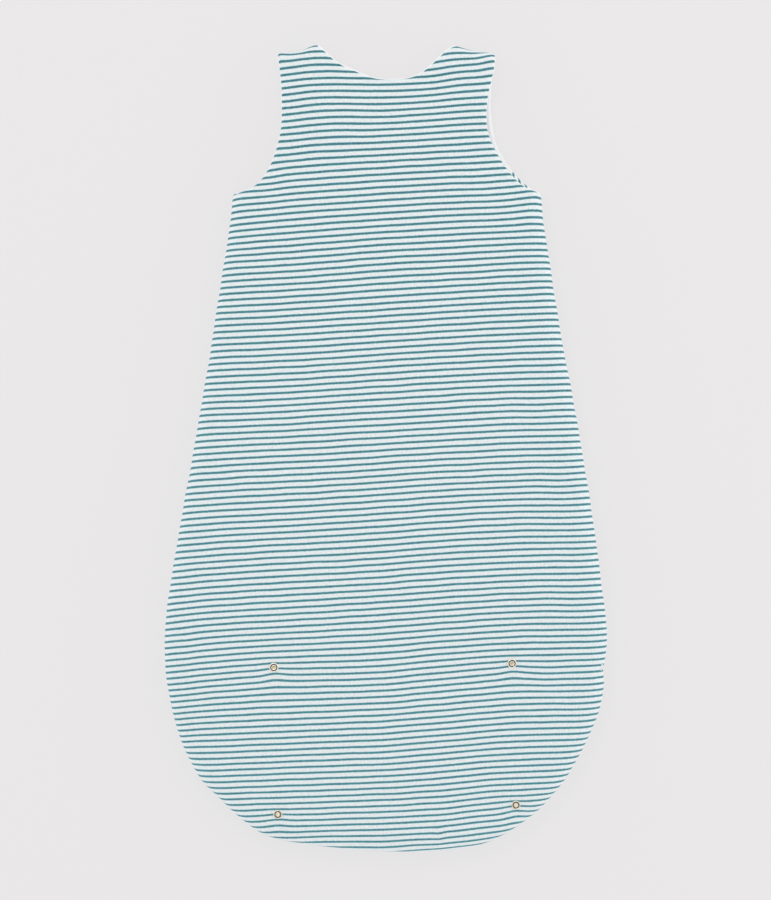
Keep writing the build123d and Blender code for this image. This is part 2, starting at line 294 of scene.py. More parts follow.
def lining_edges():
    free = flats(LINING_TOP, 3, 5, 7, 9, 11, 13)
    return {
        "side": [(3.8, 0.9), (6.2, 2.3), (9.5, 4.5), (15, 7.4), (21, 9.15), (25, LINING_TOP)],
        "cap": [(3.4, 0.9), (4.7, 3.9), (6.8, 6.5), (9.3, 8.6), (11.5, LINING_TOP), (13, LINING_TOP)],
        "neck": free,
        "arm": free,
        "slot": [(0.6, 11.5), (4, 11.5), (8.6, 11.5), (13, 10.2), (17, LINING_TOP), (21, LINING_TOP)]}


# ------------------------------------------------------------------ panels
def inside(points, loop):
    """Which points lie in a closed loop."""
    found = np.zeros(len(points), bool)
    a, b = loop, np.roll(loop, -1, axis=0)
    for (ax, ay), (bx, by) in zip(a, b):
        if ay == by:
            continue
        between = (points[:, 1] > min(ay, by)) & (points[:, 1] <= max(ay, by))
        cross = ax + (points[:, 1] - ay) / (by - ay) * (bx - ax)
        found ^= between & (points[:, 0] < cross)
    return found


def distance(points, line):
    """From each point to a row of close points."""
    out = np.empty(len(points))
    for i in range(0, len(points), 2000):
        part = points[i:i + 2000, None, :] - line[None, :, :]
        out[i:i + 2000] = np.sqrt((part**2).sum(-1).min(1))
    return out


def triangulate(points, edges, tolerance):
    """Points, triangles and, for each point, the given ones it came from."""
    made = delaunay_2d_cdt([Vector(p) for p in points], edges, [], 0, tolerance)
    return made[0], made[2], made[3]


def middles(points, triangles):
    return np.array([sum((points[v] for v in t), Vector((0, 0))) / 3 for t in triangles])


def fill(loop, spacing):
    """Points and faces that fill a closed loop: squares inside, triangles along the rim.

    Returns extra points, and faces whose indices count the loop's points first.
    """
    low, high = loop.min(0) - spacing, loop.max(0) + spacing
    xs, ys = np.arange(low[0], high[0], spacing), np.arange(low[1], high[1], spacing)
    gx, gy = np.meshgrid(xs, ys)
    nodes = np.stack([gx.ravel(), gy.ravel()], axis=1)
    keep = inside(nodes, loop)
    near = np.zeros(len(nodes))
    near[keep] = distance(nodes[keep], loop)
    grid = (keep & (near > 0.62 * spacing)).reshape(gx.shape)
    cells = grid[:-1, :-1] & grid[1:, :-1] & grid[:-1, 1:] & grid[1:, 1:]
    used = np.zeros_like(grid)
    for dy in (0, 1):
        for dx in (0, 1):
            used[dy:dy + cells.shape[0], dx:dx + cells.shape[1]] |= cells
    n = len(loop)
    index = np.full(grid.shape, -1)
    index[used] = np.arange(used.sum()) + n
    inner = nodes[used.ravel()]
    faces, edges = [], {}
    for j, i in zip(*np.nonzero(cells)):
        quad = (int(index[j, i]), int(index[j, i + 1]), int(index[j + 1, i + 1]), int(index[j + 1, i]))
        faces.append(quad)
        for a, b in zip(quad, quad[1:] + quad[:1]):
            if (b, a) in edges:
                del edges[(b, a)]
            else:
                edges[(a, b)] = True
    joined = sorted({v for e in edges for v in e})
    back = list(range(n)) + joined
    forward = {v: k for k, v in enumerate(back)}
    rim = [(k, (k + 1) % n) for k in range(n)] + [(forward[a], forward[b]) for a, b in edges]
    where, triangles, origins = triangulate([*loop, *(inner[a - n] for a in joined)], rim, 1e-5)
    centres = middles(where, triangles)
    ci = np.clip(((centres[:, 0] - xs[0]) / spacing).astype(int), 0, cells.shape[1] - 1)
    cj = np.clip(((centres[:, 1] - ys[0]) / spacing).astype(int), 0, cells.shape[0] - 1)
    good = inside(centres, loop) & ~cells[cj, ci]
    for t, ok in zip(triangles, good):
        if ok and all(origins[v] for v in t):
            faces.append(tuple(back[origins[v][0]] for v in t))
    return inner, faces


def normals(line, width):
    """Inward directions of a counter-clockwise loop, blurred over width points, and the tangents."""
    tangent = np.roll(line, -1, axis=0) - np.roll(line, 1, axis=0)
    tangent = unit(around(tangent, width))
    return leftward(tangent), tangent


TABLE_STEP = 0.5          # millimetres from one moved loop to the next
TAUT = 0.55               # share of a rolled edge's extra length that the pattern follows


def inward_table(line, deepest):
    """The loop moved inward in small steps; its points slide along it so that they never bunch."""
    table = [line]
    for _ in range(int(deepest / TABLE_STEP) + 2):
        here = table[-1]
        inward, tangent = normals(here, 1.5)
        here = here + TABLE_STEP * inward
        for _ in range(8):
            drift = (np.roll(here, -1, axis=0) + np.roll(here, 1, axis=0)) / 2 - here
            along = (drift * tangent).sum(1)[:, None] * tangent
            here = here + 0.5 * along + 0.04 * drift
        table.append(here)
    return np.array(table)


def at_inset(table, inset):
    """Points at the wanted insets; inset has a row for each point of the loop."""
    place = inset / TABLE_STEP
    low = np.clip(place.astype(int), 0, len(table) - 2)
    part = (place - low)[:, :, None]
    which = np.arange(table.shape[1])[:, None]
    return table[low, which] * (1 - part) + table[low + 1, which] * part


class Panel:
    """One layer of cloth or padding: rings round its edge, then a filled middle.

    step is the distance between points along the outline, spacing that inside it. With closed
    the first ring is filled as well, with points that far apart.
    """

    CORNER_BLUR = 0.75    # points over which the outline is blurred
    KIND_BLUR = 5.0       # millimetres over which one kind of edge turns into the next
    FLAT_BLUR = 13.0      # millimetres over which the directions out of the outline are blurred

    def __init__(self, runs, shapes, spacing, step, closed=None):
        kinds = sorted({kind for _, kind in runs})
        rows, marks = [], []
        for points, kind in runs:
            part = curve(points, step)[:-1]
            rows.append(part)
            marks.append(np.tile([float(kind == k) for k in kinds], (len(part), 1)))
        line = around(np.concatenate(rows), self.CORNER_BLUR)
        share = around(np.concatenate(marks), self.KIND_BLUR / step)
        wander = np.arange(len(line)) * step
        line = line + normals(line, 1.5)[0] * (0.3 * np.sin(wander / 8.1) * np.sin(wander / 36))[:, None]
        section = sum(share[:, [k]][:, :, None] * np.array(shapes[kind])[None]
                      for k, kind in enumerate(kinds))
        inset, height = section[:, :, 0], section[:, :, 1]
        moved_in = inward_table(line, inset.max())
        rings = at_inset(moved_in, inset)
        unrolled = self.unroll(inset, height)
        flat = at_inset(moved_in, np.maximum(unrolled, 0))
        inward = normals(line, self.FLAT_BLUR / step)[0]
        flat = flat + inward[:, None, :] * np.minimum(unrolled, 0)[:, :, None]
        n, count = inset.shape
        self.n, self.share, self.kinds = n, share, kinds
        inner, faces = fill(rings[:, -1], spacing)
        self.xy = np.concatenate([ring_by_ring(rings), inner])
        self.flat = np.concatenate([ring_by_ring(flat), inner])
        self.height = np.concatenate([height.T.ravel(), np.full(len(inner), height[:, -1].mean())])
        last = (count - 1) * n
        self.faces = [tuple(v + last for v in f) for f in faces]
        self.faces += skin(n, [(k, k + 1) for k in range(count - 1)])
        self.ring = np.concatenate([np.repeat(np.arange(count), n), np.full(len(inner), count)])
        self.along = np.concatenate([np.tile(np.arange(n), count), np.full(len(inner), -1)])
        if closed is not None:
            self.close(rings[:, 0], height[:, 0], closed)
        self.plain = np.zeros(len(self.xy))

    def unroll(self, inset, height):
        """Where each ring would lie if the edge were laid flat, as an inset."""
        across = np.diff(inset, axis=1)
        lengths = np.hypot(across, np.diff(height, axis=1))
        # from the flat to the widest ring the cloth is drawn taut, so it uses up less of its pattern
        taut = np.abs(across) + TAUT * (lengths - np.abs(across))
        lengths = np.where(across > 0, taut, lengths)
        so_far = np.cumsum(lengths[:, ::-1], axis=1)[:, ::-1]
        return inset[:, [-1]] - np.concatenate([so_far, np.zeros((len(inset), 1))], axis=1)

    def close(self, loop, height, spacing):
        """Fills the first ring too, so that the layer is a closed body."""
        inner, faces = fill(loop, spacing)
        shift = len(self.xy) - self.n
        self.faces += [tuple(v if v < self.n else v + shift for v in reversed(f)) for f in faces]
        near = [np.argmin(((loop - p) ** 2).sum(1)) for p in inner]
        self.xy = np.concatenate([self.xy, inner])
        self.flat = np.concatenate([self.flat, inner])
        self.height = np.concatenate([self.height, height[near]])
        self.ring = np.concatenate([self.ring, np.full(len(inner), -1)])
        self.along = np.concatenate([self.along, np.full(len(inner), -1)])


def skin(n, pairs):
    """Faces between rings of n points each, for pairs of ring numbers."""
    return [(a * n + i, a * n + (i + 1) % n, b * n + (i + 1) % n, b * n + i)
            for a, b in pairs for i in range(n)]


def ring_by_ring(values):
    """Rows for each point of the outline become rows for each ring."""
    return np.swapaxes(values, 0, 1).reshape(-1, values.shape[-1])


def add_object(name, data):
    thing = bpy.data.objects.new(name, data)
    bpy.context.scene.collection.objects.link(thing)
    return thing


def make_object(name, points, faces, material, flip=False):
    mesh = bpy.data.meshes.new(name)
    mesh.from_pydata([tuple(p) for p in points], [], [tuple(reversed(f)) if flip else f for f in faces])
    mesh.validate()
    for polygon in mesh.polygons:
        polygon.use_smooth = True
    mesh.materials.append(material)
    return add_object(name, mesh)


def set_attribute(thing, name, values):
    kind = "FLOAT_VECTOR" if values.ndim == 2 else "FLOAT"
    attribute = thing.data.attributes.new(name, kind, "POINT")
    attribute.data.foreach_set("vector" if values.ndim == 2 else "value", values.astype(np.float32).ravel())


def bake_modifiers(thing):
    """Replaces the mesh by the one its modifiers make."""
    graph = bpy.context.evaluated_depsgraph_get()
    made = bpy.data.meshes.new_from_object(thing.evaluated_get(graph), preserve_all_data_layers=True,
                                           depsgraph=graph)
    thing.modifiers.clear()
    thing.data = made


# ------------------------------------------------------------------ relief of the two sides
FREE_EDGES = np.concatenate([curve(r, 6) for r in (BACK_NECK, ARMHOLE_L, ARMHOLE_R)])


SAG_DEPTH, SAG_REACH = 4.0, 42.0


def sag(x, y):
    """The back's free edges sink towards the front."""
    d = distance(np.stack([x, y], axis=1), FREE_EDGES)
    return SAG_DEPTH * np.exp(-(d / SAG_REACH) ** 2)


def near_snaps(x, y, inner, outer):
    """1 within inner of a snap's centre, 0 beyond outer."""
    return sum(1 - smooth(inner, outer, np.hypot(x - sx, y - sy)) for sx, sy in SOCKETS + STUDS)


def puckers(x, y):
    """Radial folds where the snaps draw the padding in."""
    out = np.zeros_like(x)
    for n, (sx, sy) in enumerate(SOCKETS + STUDS):
        r, a = np.hypot(x - sx, y - sy), np.arctan2(y - sy, x - sx)
        out -= 0.7 * np.exp(-(r / 24) ** 2)
        out += 0.38 * np.cos(5 * a + n + 0.6 * np.sin(2 * a)) * smooth(5, 9, r) * np.exp(-(r / 15) ** 2)
    return out


def loft(x, y):
    """The shared unevenness of the back's layers."""
    middle = smooth(-190, -40, y) * bell(x / (150 + 0.12 * np.clip(-y, 0, 300)), 0.75)
    out = 1.25 + 1.3 * middle * (1 - smooth(250, 420, y))
    out += 0.32 * waves(x, y, seed=3, count=10, shortest=80, longest=200)
    across, along = x - CREASE_X, y - CREASE_Y
    return out - 1.1 * bell(across - 0.2 * along, 2.4) * bell(along, 7)


def back_relief(x, y):
    """How far the back's outer side stands above its plain height."""
    out = loft(x, y) + 0.16 * waves(x, y, seed=4, count=12, shortest=26, longest=60) + puckers(x, y)
    return out * (1 - near_snaps(x, y, 5.6, 12))


def back_padding_relief(x, y):
    dip = near_snaps(x, y, 8, 15)
    return (loft(x, y) + puckers(x, y) - 0.15) * (1 - dip) - 1.75 * dip


def front_relief(x, y):
    """The front lies on the floor, so it is only pressed in here and there."""
    return -0.35 + 0.3 * waves(x, y, seed=7, count=10, shortest=60, longest=160)


def front_padding_relief(x, y):
    return front_relief(x, y) - 0.15


def lining_relief(x, y):
    return -0.25 + 0.25 * waves(x, y, seed=9, count=8, shortest=50, longest=140)


# ------------------------------------------------------------------ material helpers
class Nodes:
    """Short calls for building a node tree."""

    def __init__(self, tree):
        self.tree = tree

    def put(self, kind, **settings):
        node = self.tree.nodes.new(kind)
        for key, value in settings.items():
            setattr(node, key, value)
        return node

    def link(self, source, target):
        if isinstance(source, bpy.types.NodeSocket):
            self.tree.links.new(source, target)
        else:
            target.default_value = source

    def math(self, operation, *inputs):
        node = self.put("ShaderNodeMath", operation=operation)
        for value, socket in zip(inputs, node.inputs):
            self.link(value, socket)
        return node.outputs[0]

    def spread(self, value, a, b, c=0.0, d=1.0, kind="SMOOTHSTEP"):
        node = self.put("ShaderNodeMapRange", interpolation_type=kind)
        for v, socket in zip((value, a, b, c, d), node.inputs):
            self.link(v, socket)
        return node.outputs[0]

    def mix(self, factor, a, b, kind="MIX"):
        node = self.put("ShaderNodeMix", data_type="RGBA", blend_type=kind)
        self.link(factor, node.inputs[0])
        self.link(a, node.inputs[6])
        self.link(b, node.inputs[7])
        return node.outputs[2]

    def grey(self, value):
        node = self.put("ShaderNodeCombineColor")
        for socket in node.inputs:
            self.link(value, socket)
        return node.outputs[0]

    def noise(self, vector, scale, detail=2.0, rough=0.5):
        node = self.put("ShaderNodeTexNoise")
        self.link(vector, node.inputs["Vector"])
        node.inputs["Scale"].default_value = scale
        node.inputs["Detail"].default_value = detail
        node.inputs["Roughness"].default_value = rough
        return node.outputs["Fac"]

    def bands(self, vector, direction, scale, distortion):
        node = self.put("ShaderNodeTexWave", wave_type="BANDS", bands_direction=direction)
        self.link(vector, node.inputs["Vector"])
        node.inputs["Scale"].default_value = scale
        node.inputs["Distortion"].default_value = distortion
        return node.outputs["Fac"]

    def attribute(self, name, vector=False):
        node = self.put("ShaderNodeAttribute", attribute_name=name)
        return node.outputs["Vector" if vector else "Fac"]

    def place(self, kind="Object"):
        return self.put("ShaderNodeTexCoord").outputs[kind]

    def part(self, vector, axis):
        node = self.put("ShaderNodeSeparateXYZ")
        self.link(vector, node.inputs[0])
        return node.outputs[axis]

    def scaled(self, vector, x, y, z):
        node = self.put("ShaderNodeVectorMath", operation="MULTIPLY")
        self.link(vector, node.inputs[0])
        node.inputs[1].default_value = (x, y, z)
        return node.outputs[0]


class Surface(Nodes):
    """A new material and its shader."""

    def __init__(self, name):
        self.material = bpy.data.materials.new(name)
        self.material.use_nodes = True
        super().__init__(self.material.node_tree)
        self.shader = self.tree.nodes["Principled BSDF"]

    def set(self, **values):
        """Sets shader inputs; an underscore stands for a space."""
        for name, value in values.items():
            self.link(value, self.shader.inputs[name.replace("_", " ")])

    def fabric(self, sheen, rough=0.9):
        self.set(Roughness=rough, Specular_IOR_Level=0.2, Sheen_Weight=sheen, Sheen_Roughness=0.4)

    def bump(self, height, strength, distance_m):
        node = self.put("ShaderNodeBump")
        node.inputs["Strength"].default_value = strength
        node.inputs["Distance"].default_value = distance_m
        self.link(height, node.inputs["Height"])
        self.set(Normal=node.outputs[0])


def rgb(r, g, b):
    """A colour given as it looks on screen, 0 to 255."""
    shown = [c / 255 for c in (r, g, b)]
    return (*(c / 12.92 if c <= 0.04045 else ((c + 0.055) / 1.055) ** 2.4 for c in shown), 1.0)


DARK_A, DARK_B = rgb(70, 140, 138), rgb(78, 126, 150)
LIGHT, AQUA, BLUSH = rgb(240, 243, 243), rgb(226, 243, 245), rgb(243, 236, 240)
PALE_B, FACING = rgb(247, 249, 250), rgb(243, 244, 245)


def velour():
    """Short-pile velour: fine teal lines on off-white, with a pale aqua edge to each line."""
    k = Surface("striped_velour")
    cloth = k.attribute("cloth", vector=True)
    upward = k.part(cloth, "Y")
    ragged = k.math("SUBTRACT", k.noise(k.scaled(cloth, 1, 0.6, 1), 900, 2.0), 0.5)
    drift = k.math("SUBTRACT", k.noise(k.scaled(cloth, 1, 2.2, 1), 60, 2.0), 0.5)
    stray = k.math("ADD", k.math("MULTIPLY", ragged, 0.14), k.math("MULTIPLY", drift, 0.07))
    at = k.math("ADD", k.attribute("stripe"), stray)
    off = k.math("ABSOLUTE", k.math("SUBTRACT", k.math("FRACT", at), 0.5))
    # the dark lines, a little wider towards the shoulders and darkened there with painted shade
    teal = k.mix(k.noise(k.scaled(cloth, 1, 3.0, 1), 55, 3.0), DARK_A, DARK_B)
    # painted shade: the lines darken from the hem up towards the shoulders
    painted_shade_up = k.spread(upward, -0.35, 0.4, 1.12, 0.94, "LINEAR")
    knots = k.spread(k.noise(cloth, 330, 1.0), 0.3, 0.7, 0.84, 1.17, "LINEAR")
    teal = k.mix(1.0, teal, k.grey(k.math("MULTIPLY", painted_shade_up, knots)), "MULTIPLY")
    edge, core = k.spread(upward, 0.0, 0.36, 0.243, 0.256), k.spread(upward, 0.0, 0.36, 0.121, 0.132)
    line = k.spread(off, edge, core)
    # the light ones
    fringe = k.math("MULTIPLY", k.spread(off, 0.16, 0.24), k.spread(off, 0.42, 0.28))
    pale = k.mix(k.math("MULTIPLY", fringe, 0.9), LIGHT, AQUA)
    pale = k.mix(k.math("MULTIPLY", k.spread(off, 0.38, 0.5), 0.65), pale, BLUSH)
    pale = k.mix(k.noise(cloth, 240, 3.0), pale, PALE_B, "MULTIPLY")
    # single tufts of pile, lighter and darker
    tufts = k.spread(k.noise(k.scaled(cloth, 1, 0.7, 1), 430, 3.0, 0.6), 0.3, 0.7, 0.926, 1.082, "LINEAR")
    striped = k.mix(1.0, k.mix(line, pale, teal), k.grey(tufts), "MULTIPLY")
    k.set(Base_Color=k.mix(k.spread(k.attribute("plain"), 0.42, 0.58), striped, FACING))
    k.fabric(0.30)
    k.set(Sheen_Tint=rgb(236, 244, 246))
    pile = k.math("MULTIPLY", k.noise(cloth, 1500, 3.0, 0.65), 0.55)
    clumps = k.math("MULTIPLY", k.noise(k.scaled(cloth, 1, 0.5, 1), 420, 2.0), 0.5)
    rib = k.math("MULTIPLY", line, -0.55)
    k.bump(k.math("ADD", k.math("ADD", pile, clumps), rib), 0.5, 0.00035)
    return k.material


def knit(name, colour, other, columns=310.0):
    """Jersey: columns of small loops."""
    k = Surface(name)
    cloth = k.attribute("cloth", vector=True)
    loops = k.math("MULTIPLY", k.bands(cloth, "Y", columns, 1.2), 0.6)
    k.set(Base_Color=k.mix(k.noise(cloth, 90, 3.0), colour, other))
    k.fabric(0.15)
    k.bump(k.math("ADD", k.bands(cloth, "X", columns, 0.6), loops), 0.35, 0.00025)
    return k.material


def fluff(name):
    """Lofty wadding."""
    k = Surface(name)
    place = k.place()
    k.set(Base_Color=k.mix(k.noise(place, 60, 5.0, 0.7), rgb(246, 246, 243), rgb(234, 235, 232)))
    k.fabric(0.4)
    k.bump(k.noise(place, 320, 6.0, 0.75), 0.6, 0.0012)
    return k.material


def woven(name, colour, other, threads=375.0):
    """Plain woven tape or label."""
    k = Surface(name)
    place = k.place()
    k.set(Base_Color=k.mix(k.noise(place, 150, 3.0), colour, other))
    k.fabric(0.1, 0.75)
    weave = k.math("MULTIPLY", k.bands(place, "X", threads, 0.3), k.bands(place, "Y", threads, 0.3))
    k.bump(weave, 0.4, 0.0002)
    return k.material


def hard(name, colour, other, rough, metallic=0.0):
    """Metal with faint polishing marks, or moulded plastic with a faint grain."""
    k = Surface(name)
    place = k.place()
    fine, patches, vary, depth = (2200, 380, 0.25, 0.12) if metallic else (1600, 120, 0.2, 0.1)
    grain = k.noise(place, fine, 3.0, 0.6)
    k.set(Base_Color=k.mix(k.noise(place, patches, 3.0 if metallic else 2.0), colour, other))
    k.set(Roughness=k.spread(grain, 0.2, 0.8, rough * (1 - vary), rough * (1 + vary), "LINEAR"))
    k.set(Metallic=metallic)
    k.bump(grain, depth, 0.00005)
    return k.material


VELOUR = velour()
LINING = knit("lining_jersey", rgb(244, 245, 244), rgb(236, 238, 238))
WADDING, FELT = fluff("wadding"), fluff("patch_felt")
TAPE = woven("zip_tape", rgb(226, 235, 237), rgb(212, 224, 228))
LABEL = woven("label_satin", rgb(246, 246, 244), rgb(238, 238, 236), 600.0)
THREAD = woven("thread", rgb(240, 244, 245), rgb(226, 233, 236), 1300.0)
ZIP_PLASTIC = hard("zip_plastic", rgb(232, 240, 242), rgb(222, 233, 236), 0.32)
SLIDER = hard("slider_metal", rgb(236, 241, 243), rgb(228, 235, 238), 0.22)
SNAP_BRIGHT = hard("snap_metal", rgb(252, 249, 240), rgb(243, 236, 222), 0.3, 1.0)
SNAP_WARM = hard("snap_centre", rgb(232, 217, 184), rgb(214, 194, 154), 0.26, 1.0)
# painted shade and painted dark reflection, dark brown, for the snaps' channels
SNAP_PAINTED_SHADE = hard("snap_recess_painted_shade", rgb(84, 66, 46), rgb(62, 48, 34), 0.4, 1.0)


# ------------------------------------------------------------------ which CAD parts each piece replaces
def declare(thing, nodes=()):
    if nodes:
        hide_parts(*nodes)
    return thing


def both_shares(node):
    """The CAD nodes of a layer: the bag's share and the foot's."""
    return [node, "foot_" + node]


def over_fold(thing):
    """The piece runs from the bag to its foot across the fold line; only its placement is baked into its
    mesh.
    """
    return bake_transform(thing)


# ------------------------------------------------------------------ the layers
CLOTH_THICKNESS, LINING_THICKNESS = 1.2, 0.6
CUT = 0.06                # the front's halves stop this far from the centre line
NEAR_CUT = (4.6, 3.2, 2.1, 1.3, 0.7, 0.3)    # where lines of points are added beside it


def build_layer(name, panel, relief, up, material, thickness=0.0, sink=None, side=0):
    """Makes one layer's mesh. up is 1 for the back's layers and -1 for the front's.

    side is -1 or 1 for the part of the layer left or right of the centre line.
    """
    x, y = panel.xy[:, 0], panel.xy[:, 1]
    height = panel.height
    z = height + smooth(0.62, 0.99, height / height.max()) * relief(x, y)
    if sink is not None:
        z = z - smooth(5.0, 11.0, height) * sink(x, y)
    points = np.stack([x, y, MID + up * z], axis=1) * MM
    thing = make_object(name, points, panel.faces, material, flip=up < 0)
    flat_x, flat_y = panel.flat[:, 0], panel.flat[:, 1]
    set_attribute(thing, "cloth", np.stack([flat_x, flat_y, 0 * flat_x], axis=1) * MM)
    # the front's stripes were cut apart from the back's, so they don't meet them
    shift = 0.0 if up > 0 else 0.2 + 0.05 * side
    set_attribute(thing, "stripe", stripe_count(flat_x, flat_y, up > 0) + shift)
    set_attribute(thing, "plain", panel.plain)
    if side:
        halve(thing, side, fill_cut=not thickness)
        draw_in_seam(thing)
    if thickness:
        shell = thing.modifiers.new("thickness", "SOLIDIFY")
        shell.thickness = thickness * MM
        shell.offset = -1
        shell.use_even_offset = False
        bake_modifiers(thing)
    return thing


def halve(thing, side, fill_cut):
    """Keeps the part on one side of the centre line, with a few lines of points near the cut."""
    shape = bmesh.new()
    shape.from_mesh(thing.data)
    for x in (*NEAR_CUT, CUT):
        everything = list(shape.verts) + list(shape.edges) + list(shape.faces)
        bmesh.ops.bisect_plane(shape, geom=everything, dist=1e-7, plane_co=(side * x * MM, 0, 0),
                               plane_no=(side, 0, 0), clear_inner=x == CUT)
    if fill_cut:
        rim = [e for e in shape.edges if e.is_boundary]
        bmesh.ops.holes_fill(shape, edges=rim, sides=0)
    shape.to_mesh(thing.data)
    shape.free()


SEAM_DEPTH, SEAM_WIDTH = 1.9, 1.25


def draw_in_seam(thing):
    """Draws the cloth in along the centre seam below the zip."""
    for vertex in thing.data.vertices:
        x, y, z = (c / MM for c in vertex.co)
        if abs(x) > 6 or y > SLOT_END - 2 or abs(z - MID) < 3:
            continue
        depth = SEAM_DEPTH * math.exp(-(abs(x) / SEAM_WIDTH) ** 2)
        depth *= float(smooth(SLOT_END - 3, SLOT_END - 14, y))
        depth *= float(smooth(3, 9, abs(z - MID)))
        vertex.co.z += math.copysign(depth * MM, MID - z)


BACK_RUNS = [(BACK_NECK, "neck"), (SHOULDER_L, "cap"), (ARMHOLE_L, "arm"), (SIDE_L, "side"),
             (SIDE_R, "side"), (ARMHOLE_R, "arm"), (SHOULDER_R, "cap")]
# the front is one outline that runs down into the zip's slot and back up
SLOT_TOP_R = (SLOT, 366.5)
NECK_TO_SLOT = [NECK_R] + FRONT_NECK_R + [SLOT_TOP_R]
SLOT_DOWN = [SLOT_TOP_R, (SLOT, 60), (SLOT, SLOT_END + 5)]
SLOT_U = [(SLOT, SLOT_END + 5), (5.4, SLOT_END + 1.6), (0, SLOT_END), (-5.4, SLOT_END + 1.6),
          (-SLOT, SLOT_END + 5)]
FRONT_RUNS = [(NECK_TO_SLOT, "neck"), (SLOT_DOWN, "slot"), (SLOT_U, "slot"), (mirrored(SLOT_DOWN), "slot"),
              (mirrored(NECK_TO_SLOT), "neck"), (SHOULDER_L, "cap"), (FRONT_ARM_L, "arm"),
              (SIDE_L, "side"), (SIDE_R, "side"), (FRONT_ARM_R, "arm"), (SHOULDER_R, "cap")]


def turned_in(panel, kinds, first, last):
    """1 on the rings near a turned-in edge up to first, 0 from last on."""
    along = np.maximum(panel.along, 0)
    share = sum(panel.share[along, panel.kinds.index(kind)] for kind in kinds)
    return np.where(panel.along < 0, 0.0, share * (1 - smooth(first, last, panel.ring.astype(float))))


def build_back():
    panel = Panel(BACK_RUNS, cloth_edges(), spacing=3.0, step=3.0)
    panel.plain = np.maximum(turned_in(panel, ["neck"], 7.3, 8.7), turned_in(panel, ["arm"], 6.3, 7.8))
    cloth = build_layer("back_cloth", panel, back_relief, 1, VELOUR, CLOTH_THICKNESS, sag)
    over_fold(declare(cloth, both_shares("back_shell")))
    panel = Panel(BACK_RUNS, padding_edges(), spacing=5.0, step=3.5, closed=5.0)
    pad = build_layer("back_padding", panel, back_padding_relief, 1, WADDING, sink=sag)
    over_fold(declare(pad, both_shares("back_wadding")))
    panel = Panel(BACK_RUNS, lining_edges(), spacing=5.0, step=3.5)
    lining = build_layer("back_lining_cloth", panel, lining_relief, 1, LINING, LINING_THICKNESS, sag)
    over_fold(declare(lining, both_shares("back_lining")))


def build_front():
    outer = Panel(FRONT_RUNS, cloth_edges(), spacing=3.5, step=3.0)
    outer.plain = turned_in(outer, ["neck", "arm"], 5.3, 6.7)
    # low on the right armhole a few stripes show on its turned-in edge
    low_on_arm = bell(outer.xy[:, 0] - 148, 9) * bell(outer.xy[:, 1] - 300, 9)
    outer.plain *= 1 - smooth(0.2, 0.6, low_on_arm) * smooth(1.8, 3.2, outer.ring)
    middle = Panel(FRONT_RUNS, padding_edges(), spacing=5.0, step=3.5, closed=5.0)
    inner = Panel(FRONT_RUNS, lining_edges(), spacing=5.0, step=3.5)
    for side, name in ((-1, "left"), (1, "right")):
        node = "front_" + name
        cloth = build_layer("front_cloth_" + name, outer, front_relief, -1, VELOUR,
                            CLOTH_THICKNESS, side=side)
        over_fold(declare(cloth, both_shares(node + "_shell")))
        pad = build_layer("front_padding_" + name, middle, front_padding_relief, -1, WADDING, side=side)
        over_fold(declare(pad, both_shares(node + "_wadding")))
        lining = build_layer("front_lining_cloth_" + name, inner, lining_relief, -1, LINING,
                             LINING_THICKNESS, side=side)
        over_fold(declare(lining, both_shares(node + "_lining")))


build_back()
build_front()


# ------------------------------------------------------------------ hard parts: shapes
class Solid:
    """Collects the points and faces of one piece, in millimetres, with a material for each face."""

    def __init__(self):
        self.points, self.faces, self.paint = [], [], []

    def add(self, points, faces, paint=0):
        base = len(self.points)
        self.points += [tuple(p) for p in points]
        self.faces += [tuple(v + base for v in f) for f in faces]
        self.paint += [paint] * len(faces)

    def rings(self, rows, paint=0, close=True, caps=True):
        """Joins rows of points into a skin. close joins the last row to the first instead of capping."""
        n, last = len(rows[0]), len(rows) - 1
        faces = skin(n, [(k, k + 1) for k in range(last)] + [(last, 0)] * close)
        if not close and caps:
            faces.append(tuple(reversed(range(n))))
            faces.append(tuple(last * n + i for i in range(n)))
        self.add([p for row in rows for p in row], faces, paint)

    def prism(self, outline, levels, paint=0):
        """A plate from a counter-clockwise outline. levels are pairs of inset and height, going up."""
        line = np.array(outline, float)
        out = unit(np.roll(line, -1, axis=0) - line)
        inward = leftward(unit(out + np.roll(out, 1, axis=0)))
        rows = [[(x, y, z) for x, y in line + inward * inset] for inset, z in levels]
        self.rings(rows, paint, close=False)

    def lathe(self, profile, centre, count=40, paint=None):
        """Turns a closed section, pairs of radius and height, round an upright axis.

        paint gives the material of the face strips that don't take the first one.
        """
        turns = np.arange(count) * 2 * math.pi / count
        rows = [[(centre[0] + r * math.cos(t), centre[1] + r * math.sin(t), z) for t in turns]
                for r, z in profile]
        start = len(self.faces)
        self.rings(rows, 0, close=True)
        for k, which in (paint or {}).items():
            for i in range(count):
                self.paint[start + k * count + i] = which

    def make(self, name, *materials, flat_angle=40):
        mesh = bpy.data.meshes.new(name)
        mesh.from_pydata([tuple(c * MM for c in p) for p in self.points], [], self.faces)
        for material in materials:
            mesh.materials.append(material)
        mesh.polygons.foreach_set("material_index", self.paint)
        mesh.validate()
        shape = bmesh.new()
        shape.from_mesh(mesh)
        bmesh.ops.remove_doubles(shape, verts=shape.verts, dist=1e-7)
        bmesh.ops.recalc_face_normals(shape, faces=shape.faces)
        limit = math.radians(flat_angle)
        for edge in shape.edges:
            edge.smooth = len(edge.link_faces) == 2 and edge.calc_face_angle(0) < limit
        for face in shape.faces:
            face.smooth = True
        shape.to_mesh(mesh)
        shape.free()
        return add_object(name, mesh)


